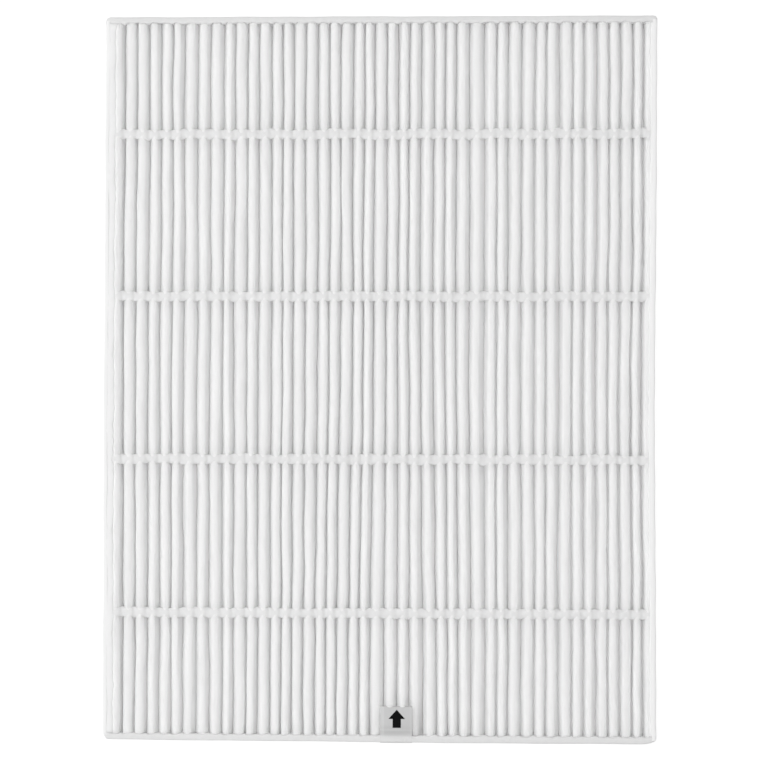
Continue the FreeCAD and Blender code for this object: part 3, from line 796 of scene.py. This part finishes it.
def side_seam(name, sign, seed):
    """The glue along one side, from the strip's inner face to the shoulder of the first or last ridge,
    over which it has crept a little."""
    node = "right_seam" if sign > 0 else "left_seam"
    creep = RIGHT_SEAM_CREEP if sign > 0 else LEFT_SEAM_CREEP
    low, high = box_mm(node)
    y = np.linspace(low[1], high[1], SIDE_SEAM_STATIONS)
    lumps = wobble(seed, 3, y, SIDE_SEAM_WAVES, 1.0)
    outer = np.full(len(y), max(abs(low[0]), abs(high[0])) + SEAM_BURIED)
    inner = min(abs(low[0]), abs(high[0])) - creep * (1 + SIDE_SEAM_LUMPS[2] * lumps[2])
    top = TOP_HIGH[2] - SIDE_SEAM_BELOW_FELT
    top = top + SIDE_SEAM_LUMPS[0] * lumps[0] + SIDE_SEAM_LUMPS[1] * lumps[1]
    foot = np.full(len(y), low[2])
    rings = strip_rings(y, outer, outer - inner, foot, top, FLUSH_ROUND, SIDE_SEAM_SHOULDER, SEAM_SIDE_POINTS)
    rings = rings[..., [1, 0, 2]]
    rings = rings * np.array([-1, 1, 1]) if sign < 0 else rings[:, ::-1]
    return string_piece(name, settle(rings)), node


side_seams = [side_seam("left_glue_seam", sign=-1, seed=93), side_seam("right_glue_seam", sign=1, seed=94)]
print("side seams:", [triangles(piece) for piece, _ in side_seams], "triangles")

# %% [markdown]
# The film tab and its arrow
#
# A piece of greyish film is bonded over two ridges and folded over the lower strip. Seen from the side
# it lies pressed into the pleats, dips in a crease just before the strip, climbs on it, bends over its
# edge and runs down the outer face. Its right edge curls up a little. A cloth simulation could drape it,
# but it was ironed on, so a formula for its height says more exactly where it lies. The arrow is printed
# on it and follows the same formula, as a skin of ink.

# %% Height of the film
OUTER_FACE = -BOTTOM_LOW[1]
BAND_FRONT = BOTTOM_HIGH[2]
FILM_ABOVE_CREST = 0.43
CLIMB_START = TAB_TOP - 12.5
CLIMB_END = -(OUTER_FACE - 3.2)
CREASE_Y = TAB_TOP - 12.6
CREASE_REACH = 1.5
CREASE_DEPTH = 0.32
CURL_HEIGHT = 0.28
CURL_REACH = 0.9
FILM_SAG = 0.06
FILM_PROUD = 0.03


def film_height(x, y):
    """Height of the film's face over the pleats and the strip: pressed below the crests, climbing
    smoothly to the strip's front, with a slight sag over each valley, a bell-shaped crease across, and
    a curl that grows with the square of the nearness to the right edge."""
    middle = ridge_middle(np.array([TAB_TOP]))[:, 0]
    half = ridge_half(np.array([TAB_TOP]))[:, 0]
    valley = valley_share(x.ravel(), middle, half).reshape(x.shape)
    pressed = FRONT_TOP - CREST_BELOW_BOX - TAB_PRESS + FILM_ABOVE_CREST
    climb = step(-y, -CLIMB_START, -CLIMB_END)
    crease = CREASE_DEPTH * np.exp(-((y - CREASE_Y) / CREASE_REACH) ** 2)
    curl = CURL_HEIGHT * np.clip(1 - (TAB_HIGH[0] - x) / CURL_REACH, 0, 1) ** 2 * (1 - climb)
    over_pleats = pressed - FILM_SAG * valley
    return over_pleats + (BAND_FRONT + FILM_PROUD - over_pleats) * climb - crease + curl


samples = np.array([TAB_TOP, CREASE_Y, CLIMB_END])
print("film at its top, crease and strip:", np.round(film_height(np.full(3, TAB_MIDDLE), samples), 2))

# %% Film tab
TAB_THICKNESS = 0.2
TAB_BEND = 0.9
BEND_PROUD = 0.12
RIM_LOOP = 0.06
FILM_COLUMNS = 34
FLAT_ROWS, BEND_ROWS, DOWN_ROWS = 40, 8, 11


def film_grid():
    """The film's face as rows down its length: over the pleats by film_height, then a quarter circle of
    radius TAB_BEND plus BEND_PROUD over the strip's edge, then straight down the outer face. A column
    stands close to either side edge, so that the smooth shading turns only at the rim."""
    x = np.linspace(TAB_LOW[0] + RIM_LOOP, TAB_HIGH[0] - RIM_LOOP, FILM_COLUMNS - 2)
    x = np.concatenate([[TAB_LOW[0]], x, [TAB_HIGH[0]]])
    bend_start = -(OUTER_FACE - TAB_BEND)
    grid_x, grid_y = np.meshgrid(x, np.linspace(TAB_TOP, bend_start, FLAT_ROWS))
    grid_z = film_height(grid_x, grid_y)
    turn = np.linspace(0, np.pi / 2, BEND_ROWS + 1)[1:]
    bend_y = bend_start - (TAB_BEND + BEND_PROUD) * np.sin(turn)
    bend_z = grid_z[-1][None, :] - (TAB_BEND + BEND_PROUD) * (1 - np.cos(turn))[:, None]
    down = np.linspace(0, 1, DOWN_ROWS + 1)[1:]
    down_y = np.full(DOWN_ROWS, bend_y[-1])
    down_z = bend_z[-1][None, :] + (TAB_LOW[2] - bend_z[-1])[None, :] * down[:, None]
    below_y = np.repeat(np.concatenate([bend_y, down_y])[:, None], FILM_COLUMNS, axis=1)
    y = np.concatenate([grid_y, below_y])
    z = np.concatenate([grid_z, bend_z, down_z])
    return np.stack([np.repeat(x[None, :], len(y), axis=0), y, z], axis=-1)


def grid_normals(grid):
    """Unit normals of a grid: the cross product of its two differences."""
    normal = np.cross(np.gradient(grid, axis=1), np.gradient(grid, axis=0))
    return normal / np.linalg.norm(normal, axis=-1, keepdims=True)


face = film_grid()
normals = -grid_normals(face)
tab = sheet_piece("film_tab", settle(face)[::-1], settle(face - TAB_THICKNESS * normals)[::-1])
print("film tab:", triangles(tab), "triangles")

# %% Printed arrow
INK_THICKNESS = 0.05
INK_SINK = 0.2
INK_SPREAD = 0.15
ARROW_MIDDLE = (ARROW_LOW[0] + ARROW_HIGH[0]) / 2
HEAD_HALF = (ARROW_HIGH[0] - ARROW_LOW[0]) / 2 + INK_SPREAD
SHAFT_HALF = HEAD_HALF / 2
HEAD_LENGTH = 4.8
BLUNT_TIP = 0.05
BARB_GAP = 0.01
HEAD_ROWS, SHAFT_ROWS, ARROW_COLUMNS = 10, 8, 13


def arrow_grid():
    """Rows down the arrow from tip to foot: half the width grows in a straight line over the head, then
    stays at the shaft's, and the height follows the film."""
    tip, foot = ARROW_HIGH[1] + INK_SPREAD, ARROW_LOW[1] - INK_SPREAD
    head = np.linspace(0, 1, HEAD_ROWS)
    shaft = np.linspace(0, 1, SHAFT_ROWS)
    barb = tip - HEAD_LENGTH
    y = np.concatenate([tip - HEAD_LENGTH * head, barb - BARB_GAP - (barb - foot - BARB_GAP) * shaft])
    half = np.concatenate([BLUNT_TIP + (HEAD_HALF - BLUNT_TIP) * head, np.full(SHAFT_ROWS, SHAFT_HALF)])
    x = ARROW_MIDDLE + half[:, None] * np.linspace(-1, 1, ARROW_COLUMNS)
    grid_y = np.repeat(y[:, None], ARROW_COLUMNS, axis=1)
    return np.stack([x, grid_y, film_height(x, grid_y)], axis=-1)


printed = arrow_grid()
lift = np.array([0, 0, INK_THICKNESS])
arrow = sheet_piece("printed_arrow", settle(printed + lift)[::-1], settle(printed - INK_SINK * lift)[::-1])
print("arrow:", triangles(arrow), "triangles")

# %% [markdown]
# Finishes
#
# Everything is nearly white, so the finishes differ in small things: the felted web of fibres with soft
# creases along the pleats, the waxy glue, the smooth greyish film with painted shade over the pleats,
# where it stands off them, and none where it lies flat on the strip. Painted textures would need the sheet
# unrolled, and the web is finer than a pixel anyway, so all patterns are noise that is read at Object
# coordinates, which don't move with the camera. Fibres and lumps are used by several materials, so they
# are shader node groups that put out a shade and a height. The shade scales the base colour and the
# height feeds a bump node; for fibres and lumps the shade is painted shade in the hollows of that height.

# %% Helpers for node groups
def new_group(name, inputs, outputs):
    """An empty shader node group with named number sockets. Inputs come with their usual values."""
    group = bpy.data.node_groups.new(name, "ShaderNodeTree")
    for label, value in inputs:
        socket = group.interface.new_socket(name=label, in_out="INPUT", socket_type="NodeSocketFloat")
        socket.default_value = value
    for label in outputs:
        group.interface.new_socket(name=label, in_out="OUTPUT", socket_type="NodeSocketFloat")
    return group, group.nodes.new("NodeGroupInput"), group.nodes.new("NodeGroupOutput")


def maths(tree, operation, first, second):
    """A Math node of two values, which may be sockets or plain numbers."""
    node = tree.nodes.new("ShaderNodeMath")
    node.operation = operation
    for slot_number, value in enumerate((first, second)):
        if isinstance(value, bpy.types.NodeSocket):
            tree.links.new(value, node.inputs[slot_number])
        else:
            node.inputs[slot_number].default_value = value
    return node.outputs[0]


def noise(tree, vector, scale, detail, stretch=(1, 1, 1), turn=(0, 0, 0)):
    """A noise texture read at Object coordinates that are first turned and stretched."""
    mapping = tree.nodes.new("ShaderNodeMapping")
    mapping.inputs["Scale"].default_value = stretch
    mapping.inputs["Rotation"].default_value = turn
    texture = tree.nodes.new("ShaderNodeTexNoise")
    texture.inputs["Detail"].default_value = detail
    if isinstance(scale, bpy.types.NodeSocket):
        tree.links.new(scale, texture.inputs["Scale"])
    else:
        texture.inputs["Scale"].default_value = scale
    tree.links.new(vector, mapping.inputs["Vector"])
    tree.links.new(mapping.outputs[0], texture.inputs["Vector"])
    return texture.outputs["Fac"]


def less_in_hollows(tree, pattern, share):
    """1 less the share times how far the pattern is below 1: painted shade that darkens the hollows."""
    hollow = maths(tree, "SUBTRACT", 1.0, pattern)
    return maths(tree, "SUBTRACT", 1.0, maths(tree, "MULTIPLY", hollow, share))


# %% Fibres and creases
FIBRE_STRETCH = (1, 0.35, 0.5)
FIBRE_TURN = (0.0, 0.0, 0.5)
CREASE_SCALE = 430.0
CREASE_STRETCH = (1, 0.05, 0.2)


def fibre_group():
    """A non-woven sheet: fine fibres that lie askew, and long soft creases along the pleats. Height is
    the fibres plus the creases times their weight, and Shade is painted shade, a little darker in the hollows
    of the creases."""
    given_names = [("Fineness", 900.0), ("Creases", 1.0), ("Unevenness_and_hollow_shade", 0.05)]
    group, given, put = new_group("fibre_web", given_names, ["Shade", "Height"])
    where = group.nodes.new("ShaderNodeTexCoord").outputs["Object"]
    fibres = noise(group, where, given.outputs["Fineness"], 1, FIBRE_STRETCH, FIBRE_TURN)
    creases = noise(group, where, CREASE_SCALE, 0, CREASE_STRETCH)
    height = maths(group, "ADD", fibres, maths(group, "MULTIPLY", creases, given.outputs["Creases"]))
    shade = less_in_hollows(group, creases, given.outputs["Unevenness_and_hollow_shade"])
    group.links.new(shade, put.inputs["Shade"])
    group.links.new(height, put.inputs["Height"])
    return group


FIBRE = fibre_group()
print("fibre web:", len(FIBRE.nodes), "nodes")

# %% Lumps of glue
FINE_LUMPS = 1400.0
FINE_WEIGHT = 0.18


def lump_group():
    """Set hot melt: soft lumps of two sizes. Height is their sum, Shade is painted shade, a little darker in
    the hollows of the coarse lumps.
    """
    group, given, put = new_group("glue_lumps", [("Size", 260.0), ("Unevenness_and_hollow_shade", 0.05)], ["Shade", "Height"])
    where = group.nodes.new("ShaderNodeTexCoord").outputs["Object"]
    coarse = noise(group, where, given.outputs["Size"], 1)
    fine = noise(group, where, FINE_LUMPS, 0)
    height = maths(group, "ADD", coarse, maths(group, "MULTIPLY", fine, FINE_WEIGHT))
    shade = less_in_hollows(group, coarse, given.outputs["Unevenness_and_hollow_shade"])
    group.links.new(shade, put.inputs["Shade"])
    group.links.new(height, put.inputs["Height"])
    return group


LUMPS = lump_group()
print("glue lumps:", len(LUMPS.nodes), "nodes")

# %% Film with painted shade over the pleats and none on the strip
# The grey over the pleats is painted shade of the gap between the film and the pleats; the strip gets none.
FILM_GAP_SHADE = 0.22
FILM_MARGIN = 1.8
FILM_MARGIN_SHARE = 2.0
MARGIN_BLUR = 0.4
UNSHADED_BEFORE_CLIMB_END = 1.7
SHADED_AFTER_CLIMB_START = 0.3


def ramp(tree, value, start, end):
    """A Map Range node that goes smoothly from 0 at start to 1 at end, both in millimetres."""
    node = tree.nodes.new("ShaderNodeMapRange")
    node.interpolation_type = "SMOOTHSTEP"
    node.inputs["From Min"].default_value = start * MM
    node.inputs["From Max"].default_value = end * MM
    tree.links.new(value, node.inputs["Value"])
    return node.outputs["Result"]


def film_group():
    """Bonded film: its shade is 1 less a painted shade of the gap under the film over the pleats, a third
    less of it along its left margin, and 1 where it lies flat on the strip, all of it times soft lumps of
    what lies beneath."""
    group, given, put = new_group("bonded_film", [("Size", 120.0), ("Unevenness_and_hollow_shade", 0.05)], ["Shade", "Height"])
    where = group.nodes.new("ShaderNodeTexCoord").outputs["Object"]
    parts = group.nodes.new("ShaderNodeSeparateXYZ")
    group.links.new(where, parts.inputs[0])
    over_pleats = ramp(group, parts.outputs["Y"], CLIMB_END - UNSHADED_BEFORE_CLIMB_END,
                       CLIMB_START + SHADED_AFTER_CLIMB_START)
    margin_edge = TAB_LOW[0] + FILM_MARGIN
    past_margin = ramp(group, parts.outputs["X"], margin_edge, margin_edge + MARGIN_BLUR)
    darker = maths(group, "ADD", FILM_MARGIN_SHARE, past_margin)
    grey = maths(group, "MULTIPLY", darker, FILM_GAP_SHADE / (1 + FILM_MARGIN_SHARE))
    tone = maths(group, "SUBTRACT", 1.0, maths(group, "MULTIPLY", over_pleats, grey))
    lumps = noise(group, where, given.outputs["Size"], 1)
    uneven = maths(group, "SUBTRACT", 1.0, maths(group, "MULTIPLY", lumps, given.outputs["Unevenness_and_hollow_shade"]))
    group.links.new(maths(group, "MULTIPLY", tone, uneven), put.inputs["Shade"])
    group.links.new(lumps, put.inputs["Height"])
    return group


FILM = film_group()
print("bonded film:", len(FILM.nodes), "nodes")

# %% [markdown]
# One maker for the materials
#
# A finish is a Principled shader whose base colour is scaled by a group's shade and whose normal comes
# from the group's height. Roughness and shine are the same all over a piece, so they are set straight on
# the shader. The folded sheet lets most of the light through, which is why its valleys glow. That could
# be Subsurface, but on a sheet as thin as this one a share of Translucent does it in less time.

# %% One maker for all finishes
def finish_of(name, grey, group, values, bump, bump_depth, roughness, shine=0.25, through=0.0):
    """A material: a grey level times the group's Shade as base colour, the group's Height through a Bump
    node, and plain roughness and shine. A share of the light may pass through, in the same colour."""
    material = bpy.data.materials.new(name)
    material.use_nodes = True
    tree = material.node_tree
    shader = tree.nodes["Principled BSDF"]
    effect = tree.nodes.new("ShaderNodeGroup")
    effect.node_tree = group
    for label, value in values.items():
        effect.inputs[label].default_value = value
    tint = tree.nodes.new("ShaderNodeMix")
    tint.data_type = "RGBA"
    tint.inputs["A"].default_value = (0, 0, 0, 1)
    tint.inputs["B"].default_value = (grey, grey, grey, 1)
    tree.links.new(effect.outputs["Shade"], tint.inputs["Factor"])
    tree.links.new(tint.outputs["Result"], shader.inputs["Base Color"])
    bump_node = tree.nodes.new("ShaderNodeBump")
    bump_node.inputs["Strength"].default_value = bump
    bump_node.inputs["Distance"].default_value = bump_depth
    tree.links.new(effect.outputs["Height"], bump_node.inputs["Height"])
    tree.links.new(bump_node.outputs["Normal"], shader.inputs["Normal"])
    shader.inputs["Roughness"].default_value = roughness
    shader.inputs["Specular IOR Level"].default_value = shine
    if through > 0:
        passing = tree.nodes.new("ShaderNodeBsdfTranslucent")
        tree.links.new(tint.outputs["Result"], passing.inputs["Color"])
        mixed = tree.nodes.new("ShaderNodeMixShader")
        mixed.inputs[0].default_value = through
        tree.links.new(shader.outputs[0], mixed.inputs[1])
        tree.links.new(passing.outputs[0], mixed.inputs[2])
        tree.links.new(mixed.outputs[0], tree.nodes["Material Output"].inputs["Surface"])
    return material


# %% Finishes of the media, felt, glue, film and ink
# The Unevenness value of the fibre and glue groups is painted shade that darkens the hollows of their bumps;
# on the film it is random unevenness.
media_finish = finish_of("nonwoven_media", 0.985, FIBRE,
                         {"Fineness": 900.0, "Creases": 1.2, "Unevenness_and_hollow_shade": 0.02},
                         bump=0.3, bump_depth=0.0002, roughness=0.95, through=0.68)
side_felt = finish_of("felt_strip_side", 0.975, FIBRE,
                      {"Fineness": 700.0, "Creases": 0.3, "Unevenness_and_hollow_shade": 0.03},
                      bump=0.25, bump_depth=0.0003, roughness=0.95, through=0.04)
# The end strips are the same felt as the side strips; their darker grey is painted shade, since the ends get
# less of the side light.
shaded_end_felt = finish_of("felt_strip_end_painted_shade", 0.87, FIBRE,
                     {"Fineness": 700.0, "Creases": 0.2, "Unevenness_and_hollow_shade": 0.05},
                     bump=0.3, bump_depth=0.0003, roughness=0.95, through=0.08)
string_glue = finish_of("hot_melt_string", 0.94, LUMPS, {"Size": 260.0, "Unevenness_and_hollow_shade": 0.06},
                        bump=0.3, bump_depth=0.0004, roughness=0.45, through=0.35)
side_glue = finish_of("hot_melt_side", 0.96, LUMPS, {"Size": 200.0, "Unevenness_and_hollow_shade": 0.03},
                      bump=0.2, bump_depth=0.0004, roughness=0.6, through=0.06)
# The end seams are the same hot melt as the side seams; their darker grey is painted shade, since the ends
# get less of the side light.
shaded_end_glue = finish_of("hot_melt_end_painted_shade", 0.89, LUMPS, {"Size": 200.0, "Unevenness_and_hollow_shade": 0.05},
                     bump=0.25, bump_depth=0.0004, roughness=0.6, through=0.1)
film_finish = finish_of("film_grey_and_painted_shade", 0.82, FILM, {"Size": 120.0, "Unevenness_and_hollow_shade": 0.05},
                        bump=0.15, bump_depth=0.0003, roughness=0.4, shine=0.4, through=0.15)
ink_finish = finish_of("printed_black", 0.005, LUMPS, {"Size": 900.0, "Unevenness_and_hollow_shade": 0.3},
                       bump=0.1, bump_depth=0.0001, roughness=0.8, shine=0.06)
print("materials:", len(bpy.data.materials))

# %% [markdown]
# Who stands for whom
#
# Each dressed piece hides the CAD node that it stands for, rides on the one body of this part and takes
# the finish that a scene may repaint.

# %% Materials, slots and the body
dressed = []


def dress(piece, node, material):
    """Gives a piece its material and its body, and hides the node that it stands for."""
    piece.data.materials.append(material)
    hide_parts(node)
    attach(piece, "root")
    dressed.append(node)


dress(media, "pleated_media", media_finish)
for piece, node in glue:
    dress(piece, node, string_glue)
for piece, node in end_seams:
    dress(piece, node, shaded_end_glue)
for piece, node in side_seams:
    dress(piece, node, side_glue)
dress(top_strip, "top_band", shaded_end_felt)
dress(bottom_strip, "bottom_band", shaded_end_felt)
dress(left_strip, "left_band", side_felt)
dress(right_strip, "right_band", side_felt)
dress(tab, "arrow_tab", film_finish)
dress(arrow, "direction_arrow", ink_finish)
print("dressed:", len(dressed), "of", len(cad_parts), "nodes")

# %% [markdown]
# Floor and light
#
# The picture is high key: a white ground and broad soft light, a little from the left. The world gives
# most of the light from all sides; a large lamp at the left and one near the camera reach down into the
# valleys. The ground and the world look white to the camera without adding light to the filter, and the
# ground still takes the filter's shadow.

# %% Floor
FLOOR_SIDE = 6000.0
FLOOR_GAP = 0.2
GROUND_PAINT = 0.8
GROUND_GLOW = 0.90
GROUND_SHARE = 0.20


def seen_directly(tree):
    """1 for camera, glossy and transmission rays, so the ground looks the same in a mirror or glass."""
    path = tree.nodes.new("ShaderNodeLightPath")
    seen = maths(tree, "ADD", path.outputs["Is Camera Ray"], path.outputs["Is Glossy Ray"])
    return maths(tree, "MINIMUM", maths(tree, "ADD", seen, path.outputs["Is Transmission Ray"]), 1.0)


def floor_material():
    """Plain pale paint for the light that bounces; for the eye, a white glow plus a share of the paint,
    which is where the shadow shows."""
    material = bpy.data.materials.new("studio_floor")
    material.use_nodes = True
    tree = material.node_tree
    tree.nodes.clear()
    paint = tree.nodes.new("ShaderNodeBsdfDiffuse")
    paint.inputs["Color"].default_value = (GROUND_PAINT, GROUND_PAINT, GROUND_PAINT, 1)
    veil = tree.nodes.new("ShaderNodeBsdfDiffuse")
    veil.inputs["Color"].default_value = (GROUND_SHARE, GROUND_SHARE, GROUND_SHARE, 1)
    glow = tree.nodes.new("ShaderNodeEmission")
    glow.inputs["Strength"].default_value = GROUND_GLOW
    both = tree.nodes.new("ShaderNodeAddShader")
    choose = tree.nodes.new("ShaderNodeMixShader")
    put = tree.nodes.new("ShaderNodeOutputMaterial")
    tree.links.new(veil.outputs[0], both.inputs[0])
    tree.links.new(glow.outputs[0], both.inputs[1])
    tree.links.new(seen_directly(tree), choose.inputs[0])
    tree.links.new(paint.outputs[0], choose.inputs[1])
    tree.links.new(both.outputs[0], choose.inputs[2])
    tree.links.new(choose.outputs[0], put.inputs["Surface"])
    return material


corners = np.array([[-1, -1], [1, -1], [1, 1], [-1, 1]]) * FLOOR_SIDE / 2
ground = np.column_stack([corners, np.full(4, -FLOOR_GAP)])
floor = new_piece("studio_floor", ground, [[0, 1, 2, 3]], smooth=False)
floor.data.materials.append(floor_material())
print("floor:", FLOOR_SIDE / 1000, "m square,", FLOOR_GAP, "mm below the filter")

# %% World and lamps
WORLD_LEVEL = 0.38
KEY_PLACE, KEY_SIDE, KEY_POWER = (-1.5, 0.05, 1.6), 1.4, 19.0
FRONT_PLACE, FRONT_SIDE, FRONT_POWER = (-0.1, -0.05, 2.4), 0.7, 17.0


def white_world(level):
    """An even world at the given level for the light, and white for the eye."""
    world = bpy.data.worlds.new("studio_world")
    world.use_nodes = True
    tree = world.node_tree
    light = tree.nodes["Background"]
    light.inputs["Color"].default_value = (1, 1, 1, 1)
    light.inputs["Strength"].default_value = level
    white = tree.nodes.new("ShaderNodeBackground")
    white.inputs["Strength"].default_value = 1.0
    white.inputs["Color"].default_value = (1, 1, 1, 1)
    choose = tree.nodes.new("ShaderNodeMixShader")
    tree.links.new(seen_directly(tree), choose.inputs[0])
    tree.links.new(light.outputs[0], choose.inputs[1])
    tree.links.new(white.outputs[0], choose.inputs[2])
    tree.links.new(choose.outputs[0], tree.nodes["World Output"].inputs["Surface"])
    return world


def soft_lamp(name, place, side, power):
    """A square lamp of the given side in metres that looks at the middle of the filter."""
    light = bpy.data.lights.new(name, "AREA")
    light.shape = "SQUARE"
    light.size = side
    light.energy = power
    lamp = bpy.data.objects.new(name, light)
    bpy.context.collection.objects.link(lamp)
    away = np.array(place) / np.linalg.norm(place)
    across = np.cross([0, 1, 0], away)
    across /= np.linalg.norm(across)
    turned = np.eye(4)
    turned[:3, 0] = across
    turned[:3, 1] = np.cross(away, across)
    turned[:3, 2] = away
    turned[:3, 3] = place
    lamp.matrix_world = Matrix(turned.tolist())
    return lamp


bpy.context.scene.world = white_world(WORLD_LEVEL)
soft_lamp("key_lamp", KEY_PLACE, KEY_SIDE, KEY_POWER)
soft_lamp("front_lamp", FRONT_PLACE, FRONT_SIDE, FRONT_POWER)
print("lamps of", KEY_POWER, "and", FRONT_POWER, "watts, world at", WORLD_LEVEL)

# %% [markdown]
# How the picture is worked out
#
# Light that enters a valley bounces from flank to flank and through them before it comes out again. With
# the few bounces that are usual it would be lost on the way, and the valleys of a white filter would be
# dark grey. A plain view transform keeps the near-white tones apart, which a film-like one would squeeze.

# %% Bounces and the view transform
BOUNCES = 24

scene = bpy.context.scene
scene.view_settings.view_transform = "Standard"
scene.cycles.max_bounces = BOUNCES
scene.cycles.diffuse_bounces = BOUNCES
scene.cycles.transmission_bounces = BOUNCES
print("bounces:", BOUNCES)
